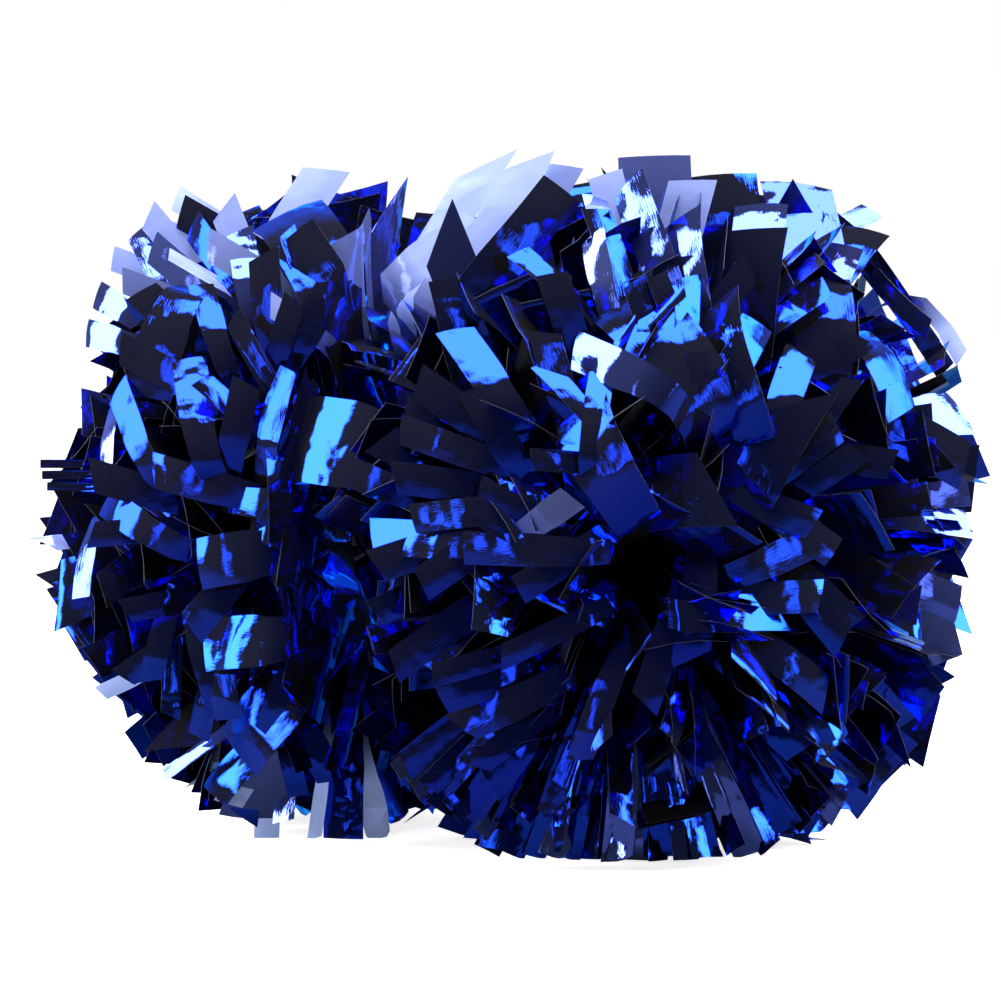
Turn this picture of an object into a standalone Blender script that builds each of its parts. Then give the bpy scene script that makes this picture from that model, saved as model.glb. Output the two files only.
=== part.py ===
"""A cheer pom pom: a plastic baton with a tuft of foil streamers tied round each end.

The baton lies along X and the pom pom rests on the plane z = 0, as on a table. Each
tuft is twelve bundles of foil streamers laid round the baton's neck and cinched by a
cable tie. The streamers leave the tie on both of its sides, some towards the baton's
end and some towards the hand, and spread into a ball. Metres, +Z up.
"""

import math

import bmesh
import bpy
from mathutils import Vector

# Driving dimensions
STREAMER_REACH = 0.124      # from the middle of a neck to a streamer's tip, sideways
END_REACH = {"right": 0.108, "left": 0.093}   # the same, along the baton
NECK_OFFSET = 0.064         # from the middle of the grip to the middle of each neck
GRIP_X = (END_REACH["left"] - END_REACH["right"]) / 2   # puts x = 0 midway along the pom pom
AXIS_HEIGHT = 0.113         # the tufts settle, so the baton lies lower than they reach
STREAMER_WIDTH = 0.025
FOIL_THICKNESS = 0.0004     # a few plies of foil lying together
BUNDLES_PER_TUFT = 12
MESH_GAP = 0.0003           # between pieces that touch

# Baton
BATON_RADIUS = 0.011
BATON_WALL = 0.0016
GRIP_RIB_HEIGHT = 0.0006
GRIP_RIB_WIDTH = 0.004
GRIP_RIB_PITCH = 0.016
GRIP_RIBS = 5
NECK_HALF = 0.013           # half the neck's length, between ring and end cap
FLANGE_RADIUS = 0.0155
FLANGE_THICKNESS = 0.002
RING_COLLAR_LENGTH = 0.005
RING_COLLAR_RADIUS = 0.0132
CAP_DOME = 0.0016
CAP_PLUG_LENGTH = 0.012
CAP_PLUG_WALL = 0.0016
TAPE_THICKNESS = 0.0004
TAPE_HALF = 0.011

# Cable tie
TIE_RADIUS = 0.0159         # inside of the strap
TIE_THICKNESS = 0.0014
TIE_HALF_WIDTH = 0.0024
TIE_HEAD = (0.0064, 0.007, 0.0045)   # along the baton, round it, and outwards

# Root of a bundle, seen along the baton: a groove for the tie between two round lobes
ROOT_RADIUS = 0.013
ROOT_GAP_ANGLE = math.radians(1.2)
LOBE_RADIUS = 0.004
LOBE_OFFSET = 0.006
LOBE_HEIGHT = 0.017
GROOVE_RADIUS = 0.0152
GROOVE_HALF = 0.0048
FACET_ANGLE = math.radians(15)

# Rows of streamers: lean of the tip away from the baton's outward end, and how many
# streamers each bundle has in that row
END_ROWS = ((12, 1), (26, 1), (40, 2), (54, 2), (68, 2), (82, 2))
HAND_ROWS = {"right": ((97, 2), (109, 2), (121, 2)), "left": ((97, 2), (108, 2))}
SPREAD = 0.86               # share of its room round the baton that a streamer fills
LEAST_FOLD = 0.004          # a streamer shorter than this past the table stops at it
ROUND_STEPS = 32


def make_material(name, color, roughness, metallic=0.0):
    material = bpy.data.materials.new(name)
    material.use_nodes = True
    shader = material.node_tree.nodes["Principled BSDF"]
    shader.inputs["Base Color"].default_value = (*color, 1.0)
    shader.inputs["Roughness"].default_value = roughness
    shader.inputs["Metallic"].default_value = metallic
    return material


def add_object(name, mesh, material, parent=None):
    obj = bpy.data.objects.new(name, mesh)
    bpy.context.scene.collection.objects.link(obj)
    mesh.materials.append(material)
    obj.parent = parent
    return obj


def lathe(name, outline, material, parent=None):
    """A solid turned about X from a closed outline of (x, radius) points."""
    bm = bmesh.new()
    verts = [bm.verts.new((x, 0, radius)) for x, radius in outline]
    edges = [bm.edges.new((a, b)) for a, b in zip(verts, verts[1:] + verts[:1])]
    bmesh.ops.spin(
        bm, geom=verts + edges, cent=(0, 0, 0), axis=(1, 0, 0),
        angle=math.tau, steps=ROUND_STEPS, use_merge=True, use_duplicate=False,
    )
    bmesh.ops.remove_doubles(bm, verts=bm.verts, dist=1e-6)
    bmesh.ops.recalc_face_normals(bm, faces=bm.faces)
    mesh = bpy.data.meshes.new(name)
    bm.to_mesh(mesh)
    bm.free()
    mesh.shade_smooth()
    mesh.set_sharp_from_angle(angle=math.radians(30))
    return add_object(name, mesh, material, parent)


def grip_tube(material, parent):
    """The baton's tube, with a row of low ribs that the hand holds."""
    half = NECK_OFFSET + NECK_HALF
    bore = BATON_RADIUS - BATON_WALL
    outline = [(half, bore), (half, BATON_RADIUS)]
    for rib in range(GRIP_RIBS):
        middle = ((GRIP_RIBS - 1) / 2 - rib) * GRIP_RIB_PITCH
        top = BATON_RADIUS + GRIP_RIB_HEIGHT
        outline += [
            (middle + GRIP_RIB_WIDTH / 2, BATON_RADIUS),
            (middle + GRIP_RIB_WIDTH / 4, top),
            (middle - GRIP_RIB_WIDTH / 4, top),
            (middle - GRIP_RIB_WIDTH / 2, BATON_RADIUS),
        ]
    outline += [(-half, BATON_RADIUS), (-half, bore)]
    return lathe("grip_tube", outline, material, parent)


def retaining_ring(side, material, parent):
    """A ring pushed onto the tube, which keeps the tuft off the hand."""
    inside = BATON_RADIUS + MESH_GAP
    face = -NECK_HALF
    back = face - FLANGE_THICKNESS
    outline = [
        (face, inside),
        (face, FLANGE_RADIUS),
        (back, FLANGE_RADIUS),
        (back, RING_COLLAR_RADIUS),
        (back - RING_COLLAR_LENGTH, RING_COLLAR_RADIUS - 0.0008),
        (back - RING_COLLAR_LENGTH, inside),
    ]
    return lathe(side + "_retaining_ring", outline, material, parent)


def end_cap(side, material, parent):
    """A flanged cap whose hollow plug presses into the tube's end."""
    face = NECK_HALF + MESH_GAP
    plug = BATON_RADIUS - BATON_WALL - MESH_GAP
    hollow = plug - CAP_PLUG_WALL
    rim = face + FLANGE_THICKNESS
    outline = [
        (face - CAP_PLUG_LENGTH, hollow),
        (face, hollow),
        (face, 0.0),
        (rim + CAP_DOME, 0.0),
        (rim + CAP_DOME * 0.8, FLANGE_RADIUS * 0.5),
        (rim, FLANGE_RADIUS - 0.0006),
        (rim - 0.0006, FLANGE_RADIUS),
        (face, FLANGE_RADIUS),
        (face, plug),
        (face - CAP_PLUG_LENGTH, plug),
    ]
    return lathe(side + "_end_cap", outline, material, parent)


def neck_tape(side, material, parent):
    """One turn of tape on the neck, under the streamers."""
    inner = BATON_RADIUS + MESH_GAP
    outer = inner + TAPE_THICKNESS
    outline = [(TAPE_HALF, inner), (TAPE_HALF, outer), (-TAPE_HALF, outer), (-TAPE_HALF, inner)]
    return lathe(side + "_neck_tape", outline, material, parent)


def cable_tie(side, material, parent):
    """A nylon tie: the strap's loop with its square head, trimmed flush."""
    outer = TIE_RADIUS + TIE_THICKNESS
    outline = [
        (TIE_HALF_WIDTH, TIE_RADIUS),
        (TIE_HALF_WIDTH, outer),
        (-TIE_HALF_WIDTH, outer),
        (-TIE_HALF_WIDTH, TIE_RADIUS),
    ]
    tie = lathe(side + "_cable_tie", outline, material, parent)
    along, around, outwards = TIE_HEAD
    bm = bmesh.new()
    bmesh.ops.create_cube(bm, size=1.0)
    bmesh.ops.scale(bm, vec=(along, around, outwards), verts=bm.verts)
    middle = TIE_RADIUS + TIE_THICKNESS / 2 + outwards / 2
    bmesh.ops.translate(bm, vec=(0, 0, middle), verts=bm.verts)
    bmesh.ops.bevel(
        bm, geom=bm.edges[:], offset=0.0006, segments=1, affect="EDGES", profile=0.5
    )
    mesh = bpy.data.meshes.new(side + "_tie_head")
    bm.to_mesh(mesh)
    bm.free()
    head = add_object(side + "_tie_head", mesh, material, parent)
    head.hide_render = True
    head.display_type = "WIRE"
    union = tie.modifiers.new("head", "BOOLEAN")
    union.operation = "UNION"
    union.object = head
    return tie


def on_lobe(side, angle):
    """A point (x, radius) on one of the root's two lobes. side is 1 for the end's lobe."""
    return (
        side * LOBE_OFFSET + LOBE_RADIUS * math.cos(angle),
        LOBE_HEIGHT + LOBE_RADIUS * math.sin(angle),
    )


def root_outline(hand_rows):
    """The root's outline as (x, radius) points, and which of its edges hold a row."""
    points = [(-LOBE_OFFSET - LOBE_RADIUS, ROOT_RADIUS), (LOBE_OFFSET + LOBE_RADIUS, ROOT_RADIUS)]
    rows = {}
    for row in range(len(END_ROWS) + 1):
        points.append(on_lobe(1, row * FACET_ANGLE))
        if row < len(END_ROWS):
            rows[len(points) - 1] = END_ROWS[row]
    points += [(GROOVE_HALF, GROOVE_RADIUS), (-GROOVE_HALF, GROOVE_RADIUS)]
    for row in range(len(hand_rows) + 1):
        points.append(on_lobe(-1, math.pi / 2 + row * FACET_ANGLE))
        if row < len(hand_rows):
            rows[len(points) - 1] = hand_rows[row]
    points += [on_lobe(-1, math.radians(150)), on_lobe(-1, math.pi)]
    return points, rows


def around_baton(x, radius, azimuth):
    return Vector((x, radius * math.sin(azimuth), radius * math.cos(azimuth)))


def cross_section(middle, across, thick):
    """Four corners of a streamer's section, in the order of its root's corners."""
    return [middle - across - thick, middle + across - thick,
            middle + across + thick, middle - across + thick]


def streamer_root(facet):
    """A facet of the root, narrowed to the foil's thickness and a little in width."""
    middle = sum(facet, Vector()) / 4
    across = (facet[1] + facet[2] - facet[0] - facet[3]) / 5
    thick = (facet[3] + facet[2] - facet[0] - facet[1]).normalized() * FOIL_THICKNESS / 2
    return cross_section(middle, across, thick)


def folded_on_table(knee, excess, outwards, width):
    """The last two sections of a streamer whose tip lies flat on the table."""
    across = Vector((0, -width / 2, 0))
    half = FOIL_THICKNESS / 2
    lean_in = Vector((outwards * half, 0, half))
    sections = []
    for x in (knee.x, knee.x + outwards * excess):
        middle = Vector((x, knee.y, half - AXIS_HEIGHT))
        tilt = lean_in if x == knee.x else Vector((0, 0, half))
        sections.append(cross_section(middle, across, -outwards * tilt))
    return sections


def reach_at(lean, end_reach):
    """How far a streamer reaches: the end half of a tuft is an ellipsoid, the rest a ball."""
    if lean > math.pi / 2:
        return STREAMER_REACH
    return 1 / math.hypot(math.cos(lean) / end_reach, math.sin(lean) / STREAMER_REACH)


def streamer_sections(facet, lean, azimuth, reach, width):
    """The sections of a tapering streamer, from the root's facet to its square-cut end."""
    root = streamer_root(facet)
    start = sum(root, Vector()) / 4
    end = around_baton(reach * math.cos(lean), reach * math.sin(lean), azimuth)
    across = Vector((0, math.cos(azimuth), -math.sin(azimuth))) * width / 2
    thick = around_baton(-math.sin(lean), math.cos(lean), azimuth) * FOIL_THICKNESS / 2
    room = start.z + AXIS_HEIGHT
    if end.z - abs(across.z) > -AXIS_HEIGHT + FOIL_THICKNESS:
        return [facet, root, cross_section(end, across, thick)]
    excess = (end - start).length * (1 - room / (start.z - end.z))
    if excess > LEAST_FOLD:
        knee = start.lerp(end, room / (start.z - end.z))
        outwards = math.copysign(1, math.cos(lean))
        return [facet, root] + folded_on_table(knee, excess, outwards, width)
    stop = (room - abs(across.z) - FOIL_THICKNESS) / (start.z - end.z)
    return [facet, root, cross_section(start.lerp(end, stop), across, thick)]


def add_streamer(bm, facet, lean, azimuth, reach, width):
    """A streamer that grows out of one facet of the root."""
    sections = streamer_sections([v.co for v in facet], lean, azimuth, reach, width)
    rings = [facet] + [[bm.verts.new(corner) for corner in s] for s in sections[1:]]
    for low, high in zip(rings, rings[1:]):
        for i in range(4):
            j = (i + 1) % 4
            bm.faces.new((low[i], low[j], high[j], high[i]))
    bm.faces.new(rings[-1])


def bundle_mesh(name, azimuth, side):
    """One bundle of streamers round the neck's middle, azimuth being 0 straight up."""
    outline, rows = root_outline(HAND_ROWS[side])
    half_angle = math.pi / BUNDLES_PER_TUFT - ROOT_GAP_ANGLE
    columns = (azimuth - half_angle, azimuth, azimuth + half_angle)
    bm = bmesh.new()
    grid = [[bm.verts.new(around_baton(x, r, a)) for x, r in outline] for a in columns]
    count = len(outline)
    for column in (0, 1):
        near, far = grid[column], grid[column + 1]
        for i in range(count):
            j = (i + 1) % count
            facet = [near[i], far[i], far[j], near[j]]
            lean, streamers = rows.get(i, (0, 0))
            if column >= streamers:
                bm.faces.new(facet)
                continue
            lean = math.radians(lean)
            offset = (column - 0.5) * half_angle if streamers == 2 else 0.0
            reach = reach_at(lean, END_REACH[side])
            room = math.tau * reach * math.sin(lean) / BUNDLES_PER_TUFT / streamers
            width = min(STREAMER_WIDTH, SPREAD * room)
            add_streamer(bm, facet, lean, azimuth + offset, reach, width)
    bm.faces.new(grid[0])
    bm.faces.new(grid[2])
    bmesh.ops.recalc_face_normals(bm, faces=bm.faces)
    mesh = bpy.data.meshes.new(name)
    bm.to_mesh(mesh)
    bm.free()
    return mesh


def tuft(side, material, hub):
    """Twelve bundles round one neck."""
    for number in range(BUNDLES_PER_TUFT):
        name = f"{side}_streamer_bundle_{number + 1:02d}"
        azimuth = number * math.tau / BUNDLES_PER_TUFT
        add_object(name, bundle_mesh(name, azimuth, side), material, hub)


def empty(name, location, turn=0.0):
    obj = bpy.data.objects.new(name, None)
    bpy.context.scene.collection.objects.link(obj)
    obj.location = location
    obj.rotation_euler = (0, 0, turn)
    return obj


def main():
    for obj in list(bpy.data.objects):
        bpy.data.objects.remove(obj)
    tube_plastic = make_material("tube_plastic", (0.02, 0.02, 0.025), 0.4)
    cap_plastic = make_material("cap_plastic", (0.03, 0.03, 0.035), 0.35)
    nylon = make_material("nylon", (0.02, 0.02, 0.02), 0.5)
    tape = make_material("tape", (0.7, 0.7, 0.72), 0.6)
    foil = make_material("blue_foil", (0.01, 0.05, 0.6), 0.12, metallic=1.0)

    middle = empty("baton_middle", (GRIP_X, 0, AXIS_HEIGHT))
    grip_tube(tube_plastic, middle)
    for side, x, turn in (("right", NECK_OFFSET, 0.0), ("left", -NECK_OFFSET, math.pi)):
        hub = empty(side + "_hub", (GRIP_X + x, 0, AXIS_HEIGHT), turn)
        retaining_ring(side, cap_plastic, hub)
        end_cap(side, cap_plastic, hub)
        neck_tape(side, tape, hub)
        cable_tie(side, nylon, hub)
        tuft(side, foil, hub)


main()
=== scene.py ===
import math
import random

import bmesh
import bpy
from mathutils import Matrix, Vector, noise


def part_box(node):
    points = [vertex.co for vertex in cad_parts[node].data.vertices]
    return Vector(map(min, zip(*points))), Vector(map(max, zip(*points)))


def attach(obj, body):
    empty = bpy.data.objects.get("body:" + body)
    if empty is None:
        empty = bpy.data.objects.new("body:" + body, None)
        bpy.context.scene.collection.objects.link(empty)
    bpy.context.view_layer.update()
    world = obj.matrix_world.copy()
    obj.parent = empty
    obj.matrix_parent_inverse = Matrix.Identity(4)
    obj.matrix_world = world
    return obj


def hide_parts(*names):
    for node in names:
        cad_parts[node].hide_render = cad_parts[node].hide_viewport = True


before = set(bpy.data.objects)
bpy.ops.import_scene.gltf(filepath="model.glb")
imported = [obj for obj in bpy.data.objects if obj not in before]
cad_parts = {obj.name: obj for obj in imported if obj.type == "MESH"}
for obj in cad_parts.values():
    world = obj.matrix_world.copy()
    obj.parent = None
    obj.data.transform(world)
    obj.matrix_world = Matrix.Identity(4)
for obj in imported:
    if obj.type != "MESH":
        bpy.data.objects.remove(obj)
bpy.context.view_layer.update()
print("frame loaded:", len(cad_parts), "nodes")

sides = ("right", "left")
bundlesPerTuft = 12
goldenTurn = 0.618034          # spreads a row of draws evenly
sharpAngle = 70.0              # degrees
firstSeed = {"right": 1, "left": 101}


# places taken from the frame

def neckOf(side):                                  # middle of the neck that a tuft is tied round
    low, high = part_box(side + "_neck_tape")
    return (low + high) / 2


def reachesOf(side):                               # how far the streamers go sideways and endways
    neck = neckOf(side)
    low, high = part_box(side + "_streamer_bundle_01")
    endways = high.x - neck.x if side == "right" else neck.x - low.x
    return high.z - neck.z, endways


# small helpers for node trees

class Field:
    # a number that a node tree works out, so that formulas read as formulas
    def __init__(self, tree, socket):
        self.tree, self.socket = tree, socket

    def math(self, operation, *others):
        node = self.tree.nodes.new("ShaderNodeMath")
        node.operation = operation
        for socket, value in zip(node.inputs, (self, *others)):
            plug(self.tree, socket, value)
        return Field(self.tree, node.outputs[0])

    def __add__(self, other): return self.math("ADD", other)
    def __sub__(self, other): return self.math("SUBTRACT", other)
    def __mul__(self, other): return self.math("MULTIPLY", other)
    def __truediv__(self, other): return self.math("DIVIDE", other)
    def __pow__(self, other): return self.math("POWER", other)
    def __neg__(self): return self.math("MULTIPLY", -1.0)
    __radd__ = __add__
    __rmul__ = __mul__

    def __rsub__(self, other): return (-self) + other

    def sin(self): return self.math("SINE")
    def cos(self): return self.math("COSINE")
    def root(self): return self.math("SQRT")
    def atLeast(self, other): return self.math("MAXIMUM", other)
    def atMost(self, other): return self.math("MINIMUM", other)


def plug(tree, socket, value):
    if isinstance(value, Field):
        tree.links.new(value.socket, socket)
    elif isinstance(value, bpy.types.NodeSocket):
        tree.links.new(value, socket)
    else:
        socket.default_value = value


def addNode(tree, kind, settings=None, **inputs):
    node = tree.nodes.new(kind)
    for name, value in (settings or {}).items():
        setattr(node, name, value)
    for name, value in inputs.items():
        plug(tree, node.inputs[name.replace("_", " ")], value)
    return node


def eased(field, low, high):                       # 0 below low, 1 above high, smooth between
    node = addNode(field.tree, "ShaderNodeMapRange", {"interpolation_type": "SMOOTHSTEP"},
                   Value=field, From_Min=low, From_Max=high)
    return Field(field.tree, node.outputs["Result"])


def mixed(amount, low, high):
    return (high - low) * amount + low


# streamers

streamerSet = {
    "Count": 36,               # streamers in one bundle
    "Layers": 3,               # streamers that were slit from one stack and still lie together
    "Layer Spread": 9.0,       # degrees that the loosest stack fans out
    "Along": 12,               # points along a streamer
    "Across": 4,               # points across it
    "Lean From": 11.0,         # degrees from the baton's outward end
    "Lean To": 108.0,
    "Sector": 34.0,            # degrees round the baton that a bundle fills
    "Width": 0.0235,
    "Width Jitter": 0.12,
    "Fullness": 2.6,           # 2 makes the end half of a tuft an ellipsoid, more makes it squarer
    "Reach Low": 0.86,         # shortest and longest streamer, as a share of the reach
    "Reach High": 1.03,
    "Root Radius": 0.0205,
    "Root Share": 0.24,        # width where it is gathered, as a share of its full width
    "Open Early": 0.55,        # shares of the length by which the gathers are flat
    "Open Late": 1.15,
    "Roll": 75.0,              # how far stacks are turned about their own line
    "Layer Roll": 16.0,        # and each streamer about its stack
    "Twist": 22.0,
    "Curl": 0.16,              # how far a tip bends over its own face, as a share of the length
    "Fall": 0.07,              # how far tips fall away from the baton's end
    "Cup": 0.05,
    "Slant": 0.06,
    "Kink": 60.0,              # sharpest fold across a streamer
    "Kinked": 0.35,            # share of streamers that have one
    "Crinkle": 0.0009,
    "Crinkle Size": 0.016,
    "Thickness": 0.0001,
}
tuftSet = {                    # the right tuft's streamers lean over the grip
    "right": {"Lean To": 124.0},
    "left": {"Lean To": 108.0, "Fullness": 2.2, "Reach High": 0.98},
}
angleInputs = ("Layer Spread", "Lean From", "Lean To", "Sector", "Roll", "Layer Roll", "Twist", "Kink",
               "Azimuth", "Turn")
wholeInputs = ("Count", "Layers", "Along", "Across", "Seed")
placeInputs = ("Seed", "Azimuth", "Turn", "Side Reach", "End Reach", "Neck X", "Neck Z")


def makeStreamerTree():
    tree = bpy.data.node_groups.new("streamerBundle", "GeometryNodeTree")
    face = tree.interface
    face.new_socket("Geometry", in_out="INPUT", socket_type="NodeSocketGeometry")
    for name in (*streamerSet, *placeInputs):
        kind = "NodeSocketInt" if name in wholeInputs else "NodeSocketFloat"
        face.new_socket(name, in_out="INPUT", socket_type=kind)
    face.new_socket("Material", in_out="INPUT", socket_type="NodeSocketMaterial")
    face.new_socket("Geometry", in_out="OUTPUT", socket_type="NodeSocketGeometry")
    given = tree.nodes.new("NodeGroupInput")
    end = tree.nodes.new("NodeGroupOutput")

    def setting(name):
        return Field(tree, given.outputs[name])

    def store(geometry, name, value, domain="POINT", kind="FLOAT"):
        node = addNode(tree, "GeometryNodeStoreNamedAttribute",
                       {"domain": domain, "data_type": kind}, Geometry=geometry, Name=name)
        plug(tree, node.inputs["Value"], value)
        return node.outputs["Geometry"]

    def stored(name):
        node = addNode(tree, "GeometryNodeInputNamedAttribute", {"data_type": "FLOAT"}, Name=name)
        return Field(tree, node.outputs["Attribute"])

    def chance(number, low=-1.0, high=1.0, each=False):       # one draw for each stack or streamer
        node = tree.nodes.new("FunctionNodeRandomValue")
        plug(tree, node.inputs[2], low)
        plug(tree, node.inputs[3], high)
        plug(tree, node.inputs["ID"], index if each else stack)
        plug(tree, node.inputs["Seed"], setting("Seed") * 40.0 + float(number))
        return Field(tree, node.outputs[1])

    # one point for each streamer, with the draws of its stack and its own
    line = addNode(tree, "GeometryNodeMeshLine", Count=setting("Count"))
    index = Field(tree, tree.nodes.new("GeometryNodeInputIndex").outputs[0])
    stack = (index / setting("Layers")).math("FLOOR")
    stacks = setting("Count") / setting("Layers")
    share = (stack + (setting("Seed") * 0.41).math("FRACT") + chance(1) * 0.3) / stacks
    level = mixed(share.atLeast(0.0).atMost(1.0), setting("Lean From").cos(), setting("Lean To").cos())
    fan = chance(2, 0.1, 1.0) * setting("Layer Spread")
    lean = level.math("ARCCOSINE") + chance(3, each=True) * fan
    lean = lean.atLeast(setting("Lean From")).atMost(setting("Lean To"))
    spread = (stack * goldenTurn + setting("Seed") * 0.37).math("FRACT") - 0.5
    azimuth = setting("Azimuth") + spread * setting("Sector") + chance(4, each=True) * fan
    long = mixed(chance(5, 0.0, 1.0).root(), setting("Reach Low"), setting("Reach High"))
    towardsHand = lean.cos() * -1.0
    roll = chance(6) * setting("Roll")
    points = store(line.outputs["Mesh"], "lean", lean)
    points = store(points, "azimuth", azimuth)
    points = store(points, "long", (long + chance(7, each=True) * 0.04).atMost(setting("Reach High")))
    points = store(points, "wide", setting("Width") * (chance(8) * setting("Width Jitter") + 1.0))
    points = store(points, "roll", roll + chance(9, each=True) * setting("Layer Roll"))
    points = store(points, "twist", chance(10) * setting("Twist"))
    points = store(points, "curl", (chance(11) * 0.7 + chance(12, each=True) * 0.3) * setting("Curl")
                   - roll.cos() * towardsHand * setting("Fall"))
    points = store(points, "cup", chance(13) * setting("Cup"))
    points = store(points, "slant", chance(14, each=True) * setting("Slant"))
    points = store(points, "pleat", chance(15))
    points = store(points, "tone", chance(16, 0.0, 1.0, each=True))
    folded = chance(17, 0.0, 1.0, each=True).math("LESS_THAN", setting("Kinked"))
    points = store(points, "kink", folded * chance(18, each=True) * setting("Kink"))
    points = store(points, "kinkAt", chance(19, 0.5, 0.85, each=True))
    points = store(points, "openBy", mixed(chance(20, 0.0, 1.0), setting("Open Early"), setting("Open Late")))

    # the film itself: a thin closed grid, laid along each streamer's line
    grid = addNode(tree, "GeometryNodeMeshCube", Vertices_X=setting("Along"),
                   Vertices_Y=setting("Across"), Vertices_Z=2)
    place = addNode(tree, "ShaderNodeSeparateXYZ",
                    Vector=tree.nodes.new("GeometryNodeInputPosition").outputs[0])
    even = Field(tree, place.outputs[0]) + 0.5
    film = store(grid.outputs["Mesh"], "u", even * (1.7 - even * 0.7))      # closer together towards the tip
    film = store(film, "v", Field(tree, place.outputs[1]))
    film = store(film, "w", Field(tree, place.outputs[2]))
    facing = addNode(tree, "ShaderNodeSeparateXYZ",
                     Vector=tree.nodes.new("GeometryNodeInputNormal").outputs[0])
    film = store(film, "rim", Field(tree, facing.outputs[2]).math("ABSOLUTE").math("LESS_THAN", 0.5), "FACE")
    copies = addNode(tree, "GeometryNodeInstanceOnPoints", Points=points, Instance=film)
    joined = addNode(tree, "GeometryNodeRealizeInstances", Geometry=copies.outputs[0]).outputs[0]

    u, v, w = stored("u"), stored("v"), stored("w")
    along = u * (stored("slant") * v * 2.0 + 1.0)
    opened = eased(along, 0.0, stored("openBy"))
    narrow = mixed(opened, setting("Root Share"), 1.0)
    wide = stored("wide")
    lean = stored("lean")
    azimuth = stored("azimuth")
    side = lean.sin()
    forward = lean.cos()
    ahead = forward.atLeast(0.0)
    full = setting("Fullness")
    reach = (ahead ** full / setting("End Reach") ** full
             + (1.0 - ahead * ahead) ** (full * 0.5) / setting("Side Reach") ** full) ** (full ** -1.0 * -1.0)
    length = reach * stored("long")
    past = along - stored("kinkAt")
    past = (past + (past * past + 0.0004).root()) * 0.5        # rounds the fold a little
    curl = stored("curl")
    far = length * (along - past * (1.0 - stored("kink").cos()) - curl * curl * 1.1 * along ** 7.0)
    startX = forward * 0.009
    startR = setting("Root Radius") * mixed(side, 0.9, 1.0)
    keep = (1.0 - along).atLeast(0.0)
    lineX = far * forward + startX * keep
    lineR = far * side + startR * keep
    roll = stored("roll") + stored("twist") * along
    across = wide * narrow * v
    zigzag = (v * 3.0 + 1.5).math("PINGPONG", 1.0)
    depth = wide * 0.3 * (1.0 - narrow * narrow).atLeast(0.0).root() * (zigzag - 0.5) * stored("pleat")
    rumple = addNode(tree, "ShaderNodeTexNoise", {"noise_dimensions": "3D"},
                     Scale=1.0, Detail=1.0, Roughness=0.6)
    spot = addNode(tree, "ShaderNodeCombineXYZ",
                   X=u * reach / setting("Crinkle Size"), Y=v * wide / setting("Crinkle Size"),
                   Z=stored("tone") * 90.0)
    plug(tree, rumple.inputs["Vector"], spot.outputs[0])
    crinkle = (Field(tree, rumple.outputs[0]) - 0.5) * 2.0 * setting("Crinkle") * eased(along, 0.0, 0.3)
    proud = (depth + wide * stored("cup") * (v * v * 4.0 - 0.5) * along
             + length * past * stored("kink").sin()
             + length * curl * along ** 4.0
             + crinkle + setting("Thickness") * w)
    # across and proud are turned about the streamer's line, then into the tuft's frame
    crosswise = across * roll.cos() - proud * roll.sin()
    outward = across * roll.sin() + proud * roll.cos()
    x = lineX - outward * side
    r = lineR + outward * forward
    y = r * azimuth.sin() + crosswise * azimuth.cos()
    z = r * azimuth.cos() - crosswise * azimuth.sin()
    # what would go below the table is pushed out along it
    height = z + setting("Neck Z")
    rest = 0.0006 + stored("tone") * 0.004
    under = (rest - height).atLeast(0.0)
    y = y * (under * 4.0 + 1.0)
    height = height.atLeast(rest)
    turn = setting("Turn")
    worldX = x * turn.cos() - y * turn.sin() + setting("Neck X")
    worldY = x * turn.sin() + y * turn.cos()
    spotAt = addNode(tree, "ShaderNodeCombineXYZ", X=worldX, Y=worldY, Z=height)
    moved = addNode(tree, "GeometryNodeSetPosition", Geometry=joined, Position=spotAt.outputs[0])
    uv = addNode(tree, "ShaderNodeCombineXYZ", X=u * reach, Y=v * wide + stored("tone") * 3.0)
    mapped = store(moved.outputs[0], "filmMap", uv.outputs[0], "CORNER", "FLOAT2")
    smooth = addNode(tree, "GeometryNodeSetShadeSmooth", Geometry=mapped, Shade_Smooth=True)
    painted = addNode(tree, "GeometryNodeSetMaterial",
                      Geometry=smooth.outputs[0], Material=setting("Material"))
    plug(tree, end.inputs[0], painted.outputs[0])
    return tree


def plainMesh(maker, name):                        # the tree's result as an ordinary mesh
    graph = bpy.context.evaluated_depsgraph_get()
    mesh = bpy.data.meshes.new_from_object(maker.evaluated_get(graph), preserve_all_data_layers=True,
                                           depsgraph=graph)
    mesh.name = name
    mesh.set_sharp_from_angle(angle=math.radians(sharpAngle))
    piece = bpy.data.objects.new(name, mesh)
    bpy.context.scene.collection.objects.link(piece)
    return piece


def growStreamers(tree, name, values, material):
    base = bpy.data.meshes.new(name + "Base")
    maker = bpy.data.objects.new(name + "Maker", base)
    bpy.context.scene.collection.objects.link(maker)
    modifier = maker.modifiers.new("streamers", "NODES")
    modifier.node_group = tree
    for item in tree.interface.items_tree:
        if item.in_out == "INPUT" and item.name in values:
            value = values[item.name]
            if item.name in angleInputs:
                value = math.radians(value)
            modifier[item.identifier] = value
        elif item.in_out == "INPUT" and item.name == "Material":
            modifier[item.identifier] = material
    piece = plainMesh(maker, name)
    bpy.data.objects.remove(maker)
    bpy.data.meshes.remove(base)
    return piece


# how much of width times length is declared: chosen so that the area check passes, and too small
# the real cut is 0.80 to 1.01 of it for a bundle, 1.24 for rightLeadStreamers, 1.31 for leftLeadStreamers
areaShare = 0.8


def declareFilm(count, width, length):
    flat = (count * width, length)
    areaShare * flat[0] * flat[1]


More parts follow.
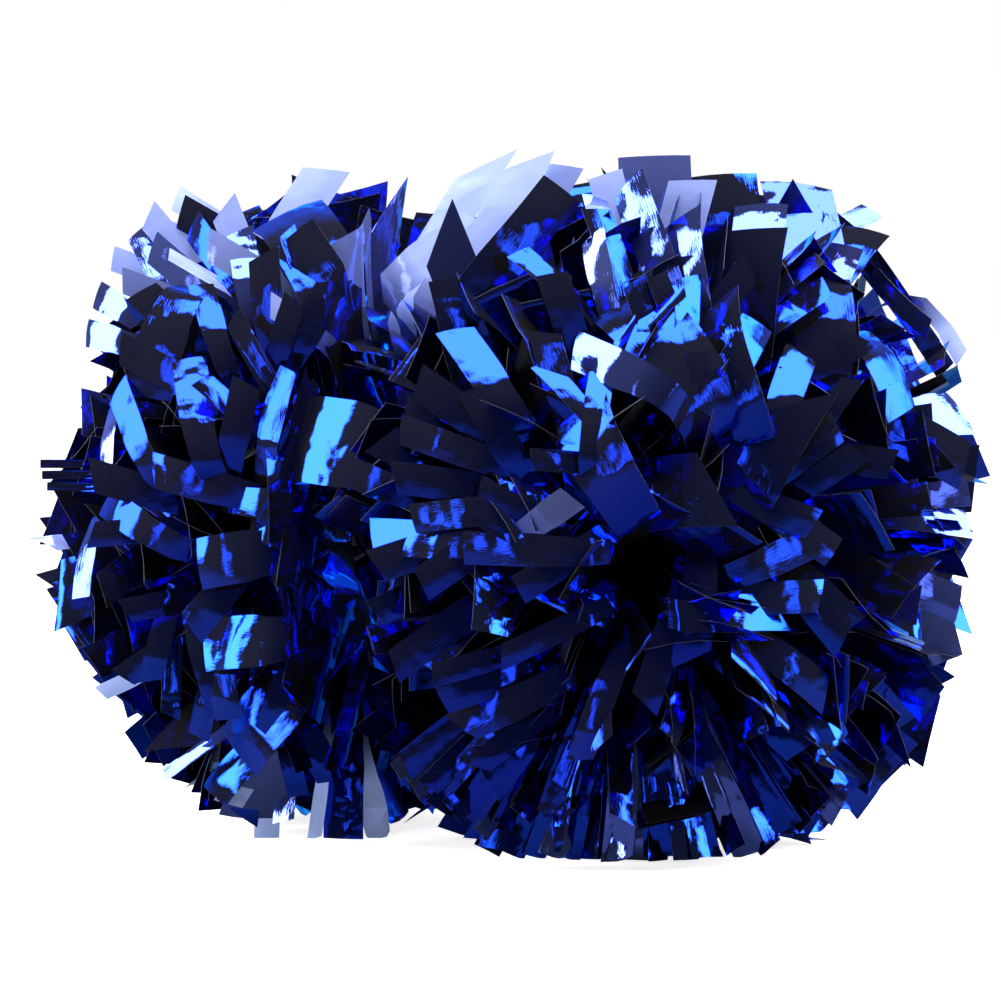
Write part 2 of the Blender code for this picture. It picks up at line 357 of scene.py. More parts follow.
def makeTuft(side, tree, material):
    neck = neckOf(side)
    sideReach, endReach = reachesOf(side)
    for number in range(bundlesPerTuft):
        values = dict(streamerSet)
        values.update(tuftSet[side])
        values.update({
            "Seed": firstSeed[side] + number,
            "Azimuth": number * 360.0 / bundlesPerTuft,
            "Turn": 0.0 if side == "right" else 180.0,
            "Side Reach": sideReach,
            "End Reach": endReach,
            "Neck X": neck.x,
            "Neck Z": neck.z,
        })
        piece = growStreamers(tree, f"{side}Streamers{number + 1:02d}", values, material)
        declareFilm(streamerSet["Count"], streamerSet["Width"], sideReach - streamerSet["Root Radius"])
        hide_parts(f"{side}_streamer_bundle_{number + 1:02d}")
        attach(piece, side + "_tuft")
    print(side, "tuft made")


# camera

studio = {
    "azimuth": 35.0,
    "elevation": 3.0,
    "distance": 2.0,
    "lens": 200.0,
    "aimX": -0.003,
    "aimZ": 0.120,
}


def awayFrom(target, azimuth, elevation, distance):
    a, e = math.radians(azimuth), math.radians(elevation)
    back = Vector((math.sin(a) * math.cos(e), -math.cos(a) * math.cos(e), math.sin(e)))
    return target + back * distance, back


def makeCamera():
    data = bpy.data.cameras.new("camera")
    data.lens = studio["lens"]
    data.clip_start = 0.05
    camera = bpy.data.objects.new("camera", data)
    bpy.context.scene.collection.objects.link(camera)
    target = Vector((studio["aimX"], 0.0, studio["aimZ"]))
    place, back = awayFrom(target, studio["azimuth"], studio["elevation"], studio["distance"])
    camera.location = place
    camera.rotation_mode = "QUATERNION"
    camera.rotation_quaternion = (-back).to_track_quat("-Z", "Y")
    bpy.context.scene.camera = camera


# lead streamers: the outermost ones on the camera's side
# the list is given one by one, and the fan and the shards are drawn by rule
# x and y are millimetres across and up from the camera's aim, as the camera sees them
mirrorDirections = {           # where a streamer's face sends the eye: azimuth and elevation
    "left": (-45.0, 25.0),
    "right": (117.0, 30.0),
    "top": (30.0, 72.0),
    "room": (35.0, 5.0),
    "dimLeft": (-2.0, 8.0),
    "dimRight": (74.0, 8.0),
    "side": (-70.0, -5.0),
    "behind": (205.0, 35.0),
    "floor": (35.0, -60.0),
}
leadSet = {
    "runPoints": 11,
    "stemPoints": 9,
    "across": 5,
    "thickness": 0.0001,
    "rootRadius": 0.0205,
    "rootShare": 0.25,
    "cup": 0.05,
    "pleat": 0.14,
    "crinkle": 0.0009,
    "crinkleSize": 0.014,
    "steepest": 42.0,          # degrees that a tip may point at or away from the camera
    "proud": 1.03,             # how far out their middles lie, as a share of the tuft's reach
    "tipProud": 1.08,          # and the furthest out that a tip may lie
    "divide": -0.0155,         # where along the baton the two tufts meet
    "broad": 0.03,             # a streamer this wide lies across the waist and isn't held back
    "margin": 0.001,
    "heldBack": 0.9,
    "slender": 3.5,            # length over width from which one is still pleated
    "openBy": 0.6,             # share of the length by which the gathers are flat
    "stemPull": 0.4,
    "leastFacing": 0.05,
    "floorGap": 0.0006,
    "floorStep": 0.00004,      # each lies a little higher than the one before
}
leadStreamers = (
    # side, x, y of the tip, angle, length, width, mirrors, bow, cut, and the amount of painted glow (pale
    # lavender colour and emission standing in for light from behind)
    # left tuft, top
    ("left", -62, 118, 57, 30, 15, "room", 10, 0.5, 0.8),
    ("left", -76, 107, 120, 62, 27, "top", 55, 0.1, 0.0),
    ("left", -74, 93, 125, 34, 20, "dimLeft", 25, 0.0, 0.0),
    ("left", -36, 105, 88, 48, 19, "dimRight", 30, 1.2, 0.1),
    ("left", -48, 99, 100, 34, 5, "room", 20, 1.5, 0.3),
    ("left", -54, 93, 103, 34, 17, "room", 25, 0.3, 0.35),
    ("left", -116, 108, 148, 42, 9, "room", 10, 0.2, 0.9),
    ("left", -114, 103, 150, 40, 12, "room", 30, 0.3, 0.0),
    ("left", -121, 95, 160, 26, 11, "room", 15, 0.4, 0.65),
    ("left", -131, 98, 118, 26, 10, "top", 15, 0.5, 0.1),
    ("left", -124, 90, 140, 28, 11, "dimLeft", 15, 0.4, 0.2),
    ("left", -110, 98, 128, 30, 10, "left", 15, 0.5, 0.0),
    ("left", -127, 103, 130, 24, 10, "room", 10, 0.5, 0.65),
    ("left", -98, 104, 112, 30, 11, "room", 15, 0.6, 0.65),
    ("left", -92, 96, 100, 28, 10, "top", 20, 0.4, 0.1),
    ("left", -103, 90, 150, 28, 11, "room", 20, 0.5, 0.5),
    ("left", -134, 78, 160, 22, 9, "room", 10, 0.4, 0.4),
    ("left", -117, 87, 150, 24, 4, "room", 5, 0.4, 1.0),
    ("left", -141, 88, 160, 16, 9, "room", 10, 0.2, 0.65),
    ("left", -80, 68, 148, 12, 8, "room", 5, 0.6, 0.65),
    # left tuft, middle and end
    ("left", -77, 23, 172, 38, 31, "left", 30, 0.05, 0.0),
    ("left", -138, 11, 268, 12, 6, "left", 5, 0.0, 0.2),
    ("left", -124, 36, 255, 28, 18, "dimLeft", 30, 0.1, 0.0),
    ("left", -72, -15, 272, 24, 15, "dimRight", 45, 0.0, 0.0),
    ("left", -62, -30, 274, 26, 13, "right", 30, 0.1, 0.0),
    ("left", -105, -22, 190, 22, 18, "dimLeft", 40, 0.0, 0.0),
    ("left", -104, -50, 185, 27, 19, "left", 25, 0.2, 0.0),
    ("left", -95, -88, 226, 40, 26, "left", 60, 0.1, 0.0),
    ("left", -89, -113, 248, 30, 21, "floor", 20, 0.3, 0.2),
    ("left", -96, -107, 238, 26, 10, "room", 10, 0.3, 0.65),
    ("left", -77, -113, 262, 24, 9, "left", 10, 0.2, 0.2),
    ("left", -83, -120, 268, 26, 9, "room", 10, 0.1, 0.85),
    ("left", -56, -124, 269, 36, 15, "dimLeft", 10, 0.05, 0.0),
    ("left", -42, -121, 285, 22, 10, "room", 10, 0.5, 0.7),
    ("left", -66, -120, 262, 20, 5, "room", 5, 0.6, 0.95),
    ("left", -162, -15, 185, 14, 12, "behind", 5, 0.4, 0.6),
    ("left", -148, -34, 262, 18, 8, "left", 10, 0.1, 0.1),
    ("left", -163, 13, 180, 20, 3, "room", 5, 0.0, 0.0),
    ("left", -162, 9, 181, 22, 3, "room", 5, 0.0, 0.0),
    ("left", -160, 5, 179, 18, 3, "room", 5, 0.0, 0.0),
    ("left", -147, 75, 150, 16, 10, "left", 10, 0.3, 0.1),
    ("left", -148, 60, 165, 14, 10, "left", 10, 0.3, 0.1),
    ("left", -141, -68, 205, 14, 6, "room", 5, 0.4, 0.9),
    ("left", -119, -97, 215, 26, 5, "left", 5, 0.0, 0.1),
    ("left", -102, -104, 228, 24, 14, "left", 30, 0.2, 0.0),
    # between the tufts
    ("left", -60, -70, 262, 46, 27, "right", 60, -0.2, 0.0),
    ("right", -2, -44, 268, 26, 17, "right", 18, 0.1, 0.0),
    ("right", -36, 8, 172, 34, 11, "room", 15, 0.4, 0.0),
    ("right", -30, -6, 186, 30, 10, "dimLeft", 20, 0.2, 0.0),
    ("right", -36, -56, 216, 34, 11, "room", 15, -0.3, 0.0),
    ("right", -42, -38, 206, 32, 10, "dimRight", 15, 0.3, 0.0),
    ("right", -28, 40, 146, 34, 12, "room", 15, 0.3, 0.0),
    ("right", -34, 24, 160, 32, 10, "dimLeft", 20, 0.3, 0.0),
    ("right", -42, -22, 198, 36, 12, "room", 15, 0.3, 0.0),
    # top of the middle
    ("right", -5, 119, 58, 44, 13, "room", 10, 1.6, 0.9),
    ("right", 8, 117, 69, 42, 17, "room", 12, 0.9, 0.9),
    ("right", -6, 95, 30, 26, 14, "room", 10, 0.4, 0.85),
    ("right", -21, 92, 112, 40, 17, "room", 25, 1.1, 0.05),
    ("right", 22, 107, 50, 46, 16, "dimRight", 20, 0.1, 0.0),
    ("right", -12, 107, 62, 40, 12, "room", 10, 1.2, 0.9),
    ("right", 4, 102, 46, 34, 11, "room", 12, 0.6, 0.85),
    ("right", 23, 116, 60, 16, 11, "room", 10, 0.4, 0.65),
    ("right", 36, 112, 103, 24, 12, "room", 10, 0.1, 0.75),
    ("right", 53, 119, 92, 34, 25, "room", 30, 0.0, 0.25),
    ("right", 43, 109, 110, 36, 14, "left", 12, 0.3, 0.1),
    ("right", 66, 110, 75, 34, 16, "room", 30, 0.3, 0.65),
    ("right", 31, 90, 100, 18, 10, "left", 15, 0.3, 0.2),
    ("right", 36, 86, 280, 18, 10, "behind", 10, 0.4, 0.6),
    ("right", 41, 71, 128, 46, 27, "top", 60, 0.1, 0.0),
    ("right", 24, 51, 155, 30, 13, "left", 20, 0.4, 0.1),
    ("right", 24, 34, 112, 34, 22, "left", 50, 0.2, 0.0),
    ("right", 71, 68, 103, 40, 17, "left", 45, 0.5, 0.0),
    # right tuft, top and end
    ("right", 78, 113, 90, 28, 25, "dimRight", 45, 0.1, 0.0),
    ("right", 104, 112, 100, 36, 24, "top", 15, -0.4, 0.05),
    ("right", 90, 103, 82, 32, 18, "top", 25, 0.2, 0.1),
    ("right", 117, 90, 68, 28, 18, "top", 30, 0.1, 0.1),
    ("right", 60, 97, 96, 28, 17, "left", 30, 0.3, 0.1),
    ("right", 86, 93, 84, 48, 22, "dimLeft", 30, 0.15, 0.0),
    ("right", 109, 77, 95, 26, 22, "top", 35, 0.0, 0.0),
    ("right", 131, 97, 52, 26, 15, "top", 20, 0.3, 0.0),
    ("right", 133, 104, 28, 22, 9, "top", 10, 0.3, 0.1),
    ("right", 159, 46, -56, 54, 8, "room", 30, 0.2, 0.0),
    ("right", 154, 54, -54, 50, 8, "room", 30, 0.2, 0.0),
    ("right", 149, 60, -52, 50, 8, "side", 30, 0.2, 0.1),
    ("right", 165, 51, -60, 12, 6, "room", 5, 0.5, 0.9),
    ("right", 163, 31, 5, 18, 16, "right", 10, 0.5, 0.1),
    ("right", 162, 12, -28, 32, 17, "dimRight", 15, 0.2, 0.0),
    ("right", 164, 3, 5, 12, 10, "dimRight", 5, 0.1, 0.1),
    ("right", 164, -8, -5, 12, 10, "right", 5, 0.1, 0.1),
    ("right", 139, 30, 292, 22, 15, "right", 25, 0.2, 0.0),
    ("right", 160, -36, -20, 18, 13, "dimRight", 10, 0.1, 0.1),
    ("right", 156, -56, -75, 24, 12, "room", 10, 0.1, 0.2),
    ("right", 150, -71, -50, 24, 15, "dimLeft", 20, 0.2, 0.0),
    ("right", 131, -102, -48, 34, 22, "dimRight", 20, 0.2, 0.0),
    # right tuft, middle
    ("right", 95, 32, 62, 36, 26, "dimLeft", 30, 1.0, 0.0),
    ("right", 70, 5, 8, 38, 26, "left", 45, 0.6, 0.0),
    ("right", 24, 1, 35, 12, 10, "room", 10, 0.3, 0.3),
    ("right", 94, -37, 2, 28, 13, "right", 20, 0.8, 0.0),
    ("right", 115, -84, -60, 24, 17, "right", 25, 0.2, 0.0),
)


fanSet = {                     # narrow pleated streamers under the right tuft's middle
    "side": "right",
    "count": 46,
    "x": 46.0,                 # where their lines meet
    "y": -34.0,
    "from": 218.0,
    "to": 322.0,
    "inner": 88.0,             # shortest and longest, from where their lines meet
    "outer": 97.0,
    "wider": 1.1,              # the fan is wider than it is high
    "stray": (-1.5, 1.5),
    "lengths": (46, 66),
    "width": 9.0,
    "widths": (0.7, 1.25),
    "mirrors": ("room", "room", "dimLeft", "dimRight", "left", "left", "right", "right"),
    "bows": (10, 35),
    "cuts": (-0.4, 0.6),
    # amounts of painted glow drawn for the fan's strips
    "paintedGlows": (0.0, 0.0, 0.0, 0.15),
    "seed": 5,
}


def fanRows():
    draw = random.Random(fanSet["seed"])
    rows = []
    for i in range(fanSet["count"]):
        turned = i * goldenTurn % 1.0
        angle = fanSet["from"] + (fanSet["to"] - fanSet["from"]) * turned + draw.uniform(*fanSet["stray"])
        reach = draw.uniform(fanSet["inner"], fanSet["outer"])
        x = fanSet["x"] + reach * math.cos(math.radians(angle)) * fanSet["wider"]
        y = fanSet["y"] + reach * math.sin(math.radians(angle))
        mirrors = draw.choice(fanSet["mirrors"])
        length = draw.uniform(*fanSet["lengths"])
        width = fanSet["width"] * draw.uniform(*fanSet["widths"])
        bow = draw.uniform(*fanSet["bows"])
        cut = draw.uniform(*fanSet["cuts"])
        paintedGlow = draw.choice(fanSet["paintedGlows"])
        rows.append((fanSet["side"], x, y, angle, length, width, mirrors, bow, cut, paintedGlow))
    return tuple(rows)


shardSet = {                   # short narrow ones all over the front of each tuft, pointing outwards
    "right": {"count": 64, "x": 46.0, "y": -8.0, "wide": 106.0, "high": 112.0},
    "left": {"count": 46, "x": -88.0, "y": -8.0, "wide": 64.0, "high": 112.0},
    "inner": 0.35,             # shares of the tuft's half width between which their tips lie
    "outer": 0.97,
    "seed": 23,
    "bright": 45.0,            # above this height more of them mirror a light
    "highMirrors": ("top", "top", "left", "right", "dimLeft", "dimRight", "room"),
    "lowMirrors": ("room", "room", "room", "room", "dimLeft", "dimRight", "left", "right"),
    "splay": (-28, 28),
    "lengths": (20, 32),
    "widths": (7, 13),
    "bows": (5, 30),
    "cuts": (-0.5, 0.8),
}


def shardRows(side):
    draw = random.Random(shardSet["seed"] + len(side))
    area = shardSet[side]
    rows = []
    for i in range(area["count"]):
        around = 2.0 * math.pi * ((i * goldenTurn) % 1.0)
        reach = mixed(math.sqrt(draw.random()), shardSet["inner"], shardSet["outer"])
        x = area["x"] + math.cos(around) * area["wide"] * reach
        y = area["y"] + math.sin(around) * area["high"] * reach
        outward = math.degrees(math.atan2(y - area["y"], x - area["x"]))
        angle = outward + draw.uniform(*shardSet["splay"])
        mirrors = draw.choice(shardSet["highMirrors" if y > shardSet["bright"] else "lowMirrors"])
        length = draw.uniform(*shardSet["lengths"])
        width = draw.uniform(*shardSet["widths"])
        bow = draw.uniform(*shardSet["bows"])
        cut = draw.uniform(*shardSet["cuts"])
        rows.append((side, x, y, angle, length, width, mirrors, bow, cut, 0.0))
    return tuple(rows)


def viewFrame():
    target = Vector((studio["aimX"], 0.0, studio["aimZ"]))
    back = pointing(studio["azimuth"], studio["elevation"])
    right = Vector((0.0, 0.0, 1.0)).cross(back).normalized()
    return target, right, back.cross(right), back


def pointing(azimuth, elevation):
    return awayFrom(Vector(), azimuth, elevation, 1.0)[1]


def depthOf(gap, back, sideReach, endReach):
    # how far towards the camera the tuft's surface lies, where gap is the way there from its neck
    squash = Vector((sideReach / endReach, 1.0, 1.0))
    gap, back = gap * squash, back * squash
    a, b = back.length_squared, gap.dot(back)
    c = gap.length_squared - (sideReach * leadSet["proud"]) ** 2
    return (math.sqrt(max(b * b - a * c, 0.0)) - b) / a


def leadLine(row, neck, sideReach, endReach):
    # the streamer's middle line from the tie to its tip, with the direction across it at each point
    side, x, y, angle, length, _, mirrors, bow = row[:8]
    target, right, up, back = viewFrame()
    heading = right * math.cos(math.radians(angle)) + up * math.sin(math.radians(angle))
    wish = (pointing(*mirrorDirections[mirrors]) + back).normalized()
    steepest = math.radians(leadSet["steepest"])
    pitch = math.atan2(-wish.dot(heading), max(wish.dot(back), leadSet["leastFacing"]))
    pitch = max(-steepest, min(steepest, pitch))
    along = heading * math.cos(pitch) + back * math.sin(pitch)
    normal = (wish - along * wish.dot(along)).normalized()
    across = along.cross(normal)
    flat = length / 1000.0 * math.cos(pitch)
    spot = target + right * (x / 1000.0) + up * (y / 1000.0) - heading * flat / 2
    gap = spot - neck
    gap -= back * gap.dot(back)
    middle = neck + gap + back * depthOf(gap, back, sideReach, sideReach)
    if (middle.x - neck.x) * (1 if side == "right" else -1) > 0:
        middle = neck + gap + back * depthOf(gap, back, sideReach, endReach)
    count = leadSet["runPoints"]
    step = length / 1000.0 / (count - 1)
    run = [middle]
    for end in (-1, 1):
        spot = middle
        for i in range(count // 2):
            turn = math.radians(bow) * end * (i + 0.5) / (count - 1)
            spot = spot + (along * math.cos(turn) - normal * math.sin(turn)) * step * end
            run.insert(0 if end < 0 else len(run), spot)
    squash = Vector((sideReach / endReach if middle.x * neck.x > neck.x ** 2 else 1.0, 1.0, 1.0))
    over = ((run[-1] - neck) * squash).length - sideReach * leadSet["tipProud"]
    if over > 0.0:
        run = [point - back * over for point in run]
    first = (run[1] - run[0]).normalized()
    outwards = (run[0] - neck).normalized()
    start = neck + outwards * leadSet["rootRadius"]
    pull = (run[0] - start).length * leadSet["stemPull"]
    stem = []
    for i in range(leadSet["stemPoints"]):
        t = i / leadSet["stemPoints"]
        stem.append(start * (1 - t) ** 3 + (start + outwards * pull) * 3 * t * (1 - t) ** 2
                    + (run[0] - first * pull) * 3 * t * t * (1 - t) + run[0] * t ** 3)
    line = stem + run
    rootAcross = (across - outwards * across.dot(outwards)).normalized()
    acrosses = [rootAcross.lerp(across, min(i / leadSet["stemPoints"], 1.0)) for i in range(len(line))]
    return line, acrosses


def addLeadStreamer(bm, layers, row, number, neck, sideReach, endReach):
    length, width, cut, paintedGlow = row[4], row[5], row[8], row[9]
    sign = 1 if row[0] == "left" else -1
    line, acrosses = leadLine(row, neck, sideReach, endReach)
    pleat = leadSet["pleat"] if length > leadSet["slender"] * width else 0.0
    width = width / 1000.0
    count = leadSet["across"]
    root = leadSet["rootShare"]
    rings = []
    travelled = 0.0
    for i, middle in enumerate(line):
        ahead = line[min(i + 1, len(line) - 1)] - line[max(i - 1, 0)]
        ahead.normalize()
        across = (acrosses[i] - ahead * acrosses[i].dot(ahead)).normalized()
        normal = across.cross(ahead)
        if i:
            travelled += (middle - line[i - 1]).length
        share = i / (len(line) - 1)
        opened = min(share / leadSet["openBy"], 1.0)
        wide = width * (root + (1 - root) * opened * opened * (3 - 2 * opened))
        ring = []
        for j in range(count):
            v = j / (count - 1) - 0.5
            spot = middle + across * v * wide
            spot += ahead * cut * v * width * share ** 8
            wave = noise.noise(Vector((travelled, v * width, number)) / leadSet["crinkleSize"])
            lift = leadSet["cup"] * (4 * v * v - 0.5) * width * share + wave * leadSet["crinkle"] * share
            lift += pleat * (1 if j % 2 else -1) * wide * (1 - share * share)
            spot -= normal * lift
            spot.z = max(spot.z, leadSet["floorGap"] + number * leadSet["floorStep"])
            if width < leadSet["broad"]:
                past = sign * (spot.x - leadSet["divide"]) + leadSet["margin"]
                spot.x -= sign * max(past, 0.0) * leadSet["heldBack"]
            ring.append((spot, normal * leadSet["thickness"], (travelled, v * wide + number)))
        rings.append(ring)
    faces = []
    grids = []
    for half in (0.5, -0.5):
        grids.append([[bm.verts.new(spot + film * half) for spot, film, _ in ring] for ring in rings])
    for grid in grids:
        for i in range(len(grid) - 1):
            for j in range(count - 1):
                corners = [(i, j), (i, j + 1), (i + 1, j + 1), (i + 1, j)]
                face = bm.faces.new([grid[a][b] for a, b in corners])
                faces.append((face, corners, 0.0))
    last = len(rings) - 1
    border = [(i, 0) for i in range(last)] + [(last, j) for j in range(count - 1)]
    border += [(i, count - 1) for i in range(last, 0, -1)] + [(0, j) for j in range(count - 1, 0, -1)]
    for here, there in zip(border, border[1:] + border[:1]):
        corners = [here, there]
        face = bm.faces.new([grids[0][here[0]][here[1]], grids[0][there[0]][there[1]],
                             grids[1][there[0]][there[1]], grids[1][here[0]][here[1]]])
        faces.append((face, [here, there, there, here], 1.0))
    tone, rim, paintedGlowLayer, mapLayer = layers
    for face, corners, isRim in faces:
        face.smooth = True
        face[rim] = isRim
        for loop, (i, j) in zip(face.loops, corners):
            loop[mapLayer].uv = rings[i][j][2]
    for grid in grids:
        for i, verts in enumerate(grid):
            shown = paintedGlow * min(i / leadSet["stemPoints"], 1.0) ** 8       # the painted glow fades out before the stem
            for vert in verts:
                vert[tone] = (number * goldenTurn) % 1.0
                vert[paintedGlowLayer] = shown


def makeLeadStreamers(side, material):
    neck = neckOf(side)
    sideReach, endReach = reachesOf(side)
    bm = bmesh.new()
    layers = (bm.verts.layers.float.new("tone"), bm.faces.layers.float.new("rim"),
              bm.verts.layers.float.new("paintedGlow"), bm.loops.layers.uv.new("filmMap"))
    rows = [row for row in leadStreamers + fanRows() + shardRows(side) if row[0] == side]
    for number, row in enumerate(rows):
        addLeadStreamer(bm, layers, row, number, neck, sideReach, endReach)
    bmesh.ops.recalc_face_normals(bm, faces=bm.faces)
    name = side + "LeadStreamers"
    mesh = bpy.data.meshes.new(name)
    bm.to_mesh(mesh)
    bm.free()
    mesh.set_sharp_from_angle(angle=math.radians(sharpAngle))
    mesh.materials.append(material)
    piece = bpy.data.objects.new(name, mesh)
    bpy.context.scene.collection.objects.link(piece)
    width = sum(row[5] for row in rows) / 1000.0
    declareFilm(1, width, sideReach - leadSet["rootRadius"])
    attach(piece, side + "_tuft")
    print(name, len(rows))


# materials

def startMaterial(name):
    material = bpy.data.materials.new(name)
    material.use_nodes = True
    return material, material.node_tree, material.node_tree.nodes["Principled BSDF"]


foilLook = {
    "blue": (0.006, 0.036, 0.43, 1.0),
    "deepBlue": (0.005, 0.021, 0.40, 1.0),
    "paintedGlow": (0.38, 0.46, 0.92, 1.0),       # painted highlight colour: pale lavender standing in for light from behind glowing through the film
    "edge": (0.11, 0.11, 0.13, 1.0),       # the cut edge of the film
    "roughness": 0.04,
    "edgeRoughness": 0.45,
    "coat": 0.28,
    "coatRoughness": 0.9,
    "coatIor": 1.5,
    # painted glow: emission on the pale strips, standing in for light from behind shining through
    "glow": 0.44,
    "paintedGlowColor": (0.44, 0.58, 1.0, 1.0),
    "edgeTint": (0.25, 0.60, 1.0, 1.0),    # keeps a mirrored light blue where the film is seen edge on
    "wrinkle": 0.6,
    "wrinkleScale": 110.0,
    "wrinkleDepth": 0.0010,
    "streak": 0.4,
    "streakScale": (260.0, 1500.0, 1.0),
    "streakDepth": 0.00012,
}


def makeFoil():
    look = foilLook
    material, tree, shader = startMaterial("blueFoil")
    tone = addNode(tree, "ShaderNodeAttribute", {"attribute_name": "tone"})
    rim = Field(tree, addNode(tree, "ShaderNodeAttribute", {"attribute_name": "rim"}).outputs["Fac"])

    def colour(amount, low, high):
        node = addNode(tree, "ShaderNodeMix", {"data_type": "RGBA"})
        sockets = (node.inputs["Factor"], node.inputs[6], node.inputs[7])
        for socket, value in zip(sockets, (amount, low, high)):
            plug(tree, socket, value)
        return node.outputs[2]

    film = colour(tone.outputs["Fac"], look["blue"], look["deepBlue"])
    # painted highlight and glow: on marked strips a pale lavender colour, less metal and emission stand in
    # for light from behind
    paintedGlow = Field(tree, addNode(tree, "ShaderNodeAttribute", {"attribute_name": "paintedGlow"}).outputs["Fac"])
    film = colour(paintedGlow, film, look["paintedGlow"])
    plug(tree, shader.inputs["Base Color"], colour(rim, film, look["edge"]))
    plug(tree, shader.inputs["Metallic"], (1.0 - rim) * (1.0 - paintedGlow))
    plug(tree, shader.inputs["Roughness"], mixed(rim, look["roughness"], look["edgeRoughness"]))
    plug(tree, shader.inputs["Emission Strength"], paintedGlow * paintedGlow * look["glow"])
    shader.inputs["Emission Color"].default_value = look["paintedGlowColor"]
    shader.inputs["Specular Tint"].default_value = look["edgeTint"]
    shader.inputs["Coat Weight"].default_value = look["coat"]
    shader.inputs["Coat Roughness"].default_value = look["coatRoughness"]
    shader.inputs["Coat IOR"].default_value = look["coatIor"]
    place = addNode(tree, "ShaderNodeUVMap", {"uv_map": "filmMap"})
    soft = addNode(tree, "ShaderNodeTexNoise", Scale=look["wrinkleScale"], Detail=1.0, Roughness=0.5,
                   Vector=place.outputs[0])
    stretched = addNode(tree, "ShaderNodeMapping", Scale=look["streakScale"], Vector=place.outputs[0])
    streaks = addNode(tree, "ShaderNodeTexNoise", Scale=1.0, Detail=2.0, Roughness=0.6,
                      Vector=stretched.outputs[0])
    wavy = addNode(tree, "ShaderNodeBump", Strength=look["wrinkle"], Distance=look["wrinkleDepth"],
                   Height=soft.outputs[0])
    ragged = addNode(tree, "ShaderNodeBump", Strength=look["streak"], Distance=look["streakDepth"],
                     Height=streaks.outputs[0], Normal=wavy.outputs[0])
    plug(tree, shader.inputs["Normal"], ragged.outputs[0])
    return material


def makePlastic(name, color, roughness):
    material, tree, shader = startMaterial(name)
    place = addNode(tree, "ShaderNodeTexCoord")
    grain = addNode(tree, "ShaderNodeTexNoise", Scale=900.0, Detail=3.0, Vector=place.outputs["Object"])
    shade = addNode(tree, "ShaderNodeMapRange", To_Min=roughness - 0.06, To_Max=roughness + 0.08,
                    Value=grain.outputs[0])
    bump = addNode(tree, "ShaderNodeBump", Strength=0.15, Distance=0.0002, Height=grain.outputs[0])
    shader.inputs["Base Color"].default_value = color
    plug(tree, shader.inputs["Roughness"], shade.outputs[0])
    plug(tree, shader.inputs["Normal"], bump.outputs[0])
    return material


def dressBaton():
    tube = makePlastic("batonPlastic", (0.02, 0.02, 0.025, 1.0), 0.42)
    fittings = makePlastic("capPlastic", (0.03, 0.03, 0.035, 1.0), 0.34)
    nylon = makePlastic("tieNylon", (0.02, 0.02, 0.02, 1.0), 0.5)
    tape = makePlastic("neckTape", (0.62, 0.62, 0.64, 1.0), 0.7)
    wanted = {"grip_tube": tube}
    for side in sides:
        wanted[side + "_retaining_ring"] = fittings
        wanted[side + "_end_cap"] = fittings
        wanted[side + "_cable_tie"] = nylon
        wanted[side + "_neck_tape"] = tape
    for name, material in wanted.items():
        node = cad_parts[name]
        if not node.material_slots:
            node.data.materials.append(material)
        for slot in node.material_slots:
            slot.material = material


# light and stage

softBoxes = {
    # name: azimuth, elevation, distance, width, height, radiance
    "leftBox": (-45.0, 25.0, 1.2, 0.5, 0.9, 20.0),
    "rightBox": (117.0, 30.0, 1.2, 0.5, 0.9, 20.0),
    "backBox": (215.0, 42.0, 1.4, 1.4, 0.7, 6.0),
    "topBox": (30.0, 72.0, 1.2, 0.9, 0.5, 16.0),
    "rightFill": (74.0, 8.0, 1.3, 0.16, 0.4, 3.0),
    "leftFill": (-2.0, 8.0, 1.3, 0.16, 0.4, 3.0),
}


def makeLights():
    target = Vector((0.0, 0.0, studio["aimZ"]))
    for name, (azimuth, elevation, distance, width, height, radiance) in softBoxes.items():
        data = bpy.data.lights.new(name, "AREA")
        data.shape = "RECTANGLE"
        data.size = width
        data.size_y = height
        data.energy = radiance * math.pi * width * height
        light = bpy.data.objects.new(name, data)
        bpy.context.scene.collection.objects.link(light)
        light.location, back = awayFrom(target, azimuth, elevation, distance)
        light.rotation_mode = "QUATERNION"
        light.rotation_quaternion = (-back).to_track_quat("-Z", "Y")


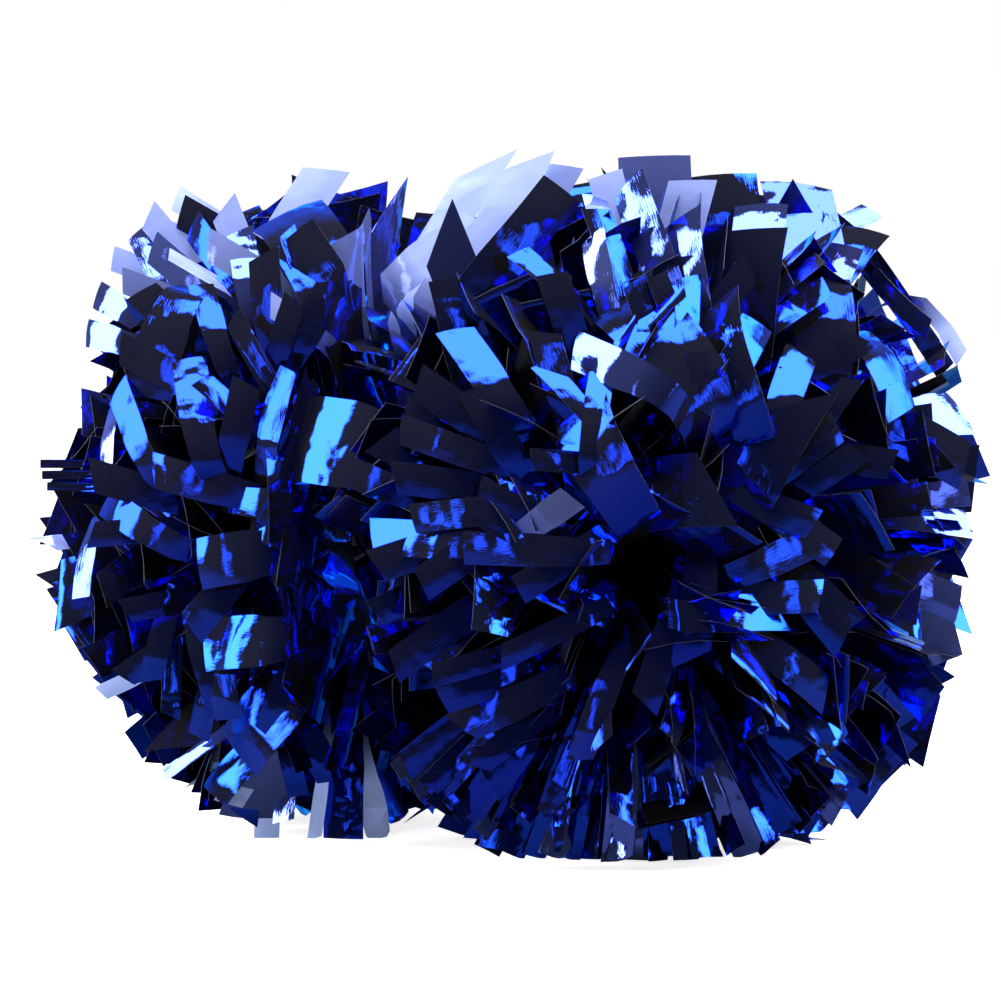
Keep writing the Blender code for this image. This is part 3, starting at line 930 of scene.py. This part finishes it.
def makeWorld():
    # a white surround behind and beside the object, and a dark room on the camera's side
    world = bpy.data.worlds.new("studioWorld")
    world.use_nodes = True
    bpy.context.scene.world = world
    tree = world.node_tree
    background = tree.nodes["Background"]
    path = tree.nodes.new("ShaderNodeLightPath")
    place = tree.nodes.new("ShaderNodeTexCoord")
    front = awayFrom(Vector(), studio["azimuth"], 10.0, 1.0)[0]
    facing = addNode(tree, "ShaderNodeVectorMath", {"operation": "DOT_PRODUCT"})
    plug(tree, facing.inputs[0], place.outputs["Generated"])
    plug(tree, facing.inputs[1], front)
    room = addNode(tree, "ShaderNodeMapRange", {"interpolation_type": "SMOOTHSTEP"},
                   Value=facing.outputs["Value"], From_Min=0.0, From_Max=-0.4, To_Min=0.05, To_Max=1.2)
    light = Field(tree, room.outputs[0])
    seen = Field(tree, path.outputs["Is Camera Ray"])
    plug(tree, background.inputs["Strength"], mixed(seen, light, 1.0))
    background.inputs["Color"].default_value = (1.0, 1.0, 1.0, 1.0)


floorLook = {
    "half": 6.0,
    "seen": 0.9,
    "mirrored": 0.10,              # darker where the film mirrors it
    "glow": 0.8,
    "roughness": 0.9,
}


def makeFloor():
    mesh = bpy.data.meshes.new("floor")
    half = floorLook["half"]
    corners = [(-half, -half, 0), (half, -half, 0), (half, half, 0), (-half, half, 0)]
    mesh.from_pydata(corners, [], [(0, 1, 2, 3)])
    floor = bpy.data.objects.new("floor", mesh)
    bpy.context.scene.collection.objects.link(floor)
    material, tree, shader = startMaterial("paleFloor")
    seen = Field(tree, tree.nodes.new("ShaderNodeLightPath").outputs["Is Camera Ray"])
    shade = mixed(seen, floorLook["mirrored"], floorLook["seen"])
    grey = addNode(tree, "ShaderNodeCombineColor", Red=shade, Green=shade, Blue=shade)
    plug(tree, shader.inputs["Base Color"], grey.outputs[0])
    plug(tree, shader.inputs["Emission Strength"], seen * floorLook["glow"])
    shader.inputs["Emission Color"].default_value = (1.0, 1.0, 1.0, 1.0)
    shader.inputs["Roughness"].default_value = floorLook["roughness"]
    mesh.materials.append(material)


# making it all

makeCamera()
makeLights()
makeWorld()
makeFloor()
bpy.context.scene.view_settings.view_transform = "Standard"
print("stage set")

foil = makeFoil()
streamerTree = makeStreamerTree()
for side in sides:
    makeTuft(side, streamerTree, foil)
    makeLeadStreamers(side, foil)
dressBaton()
print("baton dressed")
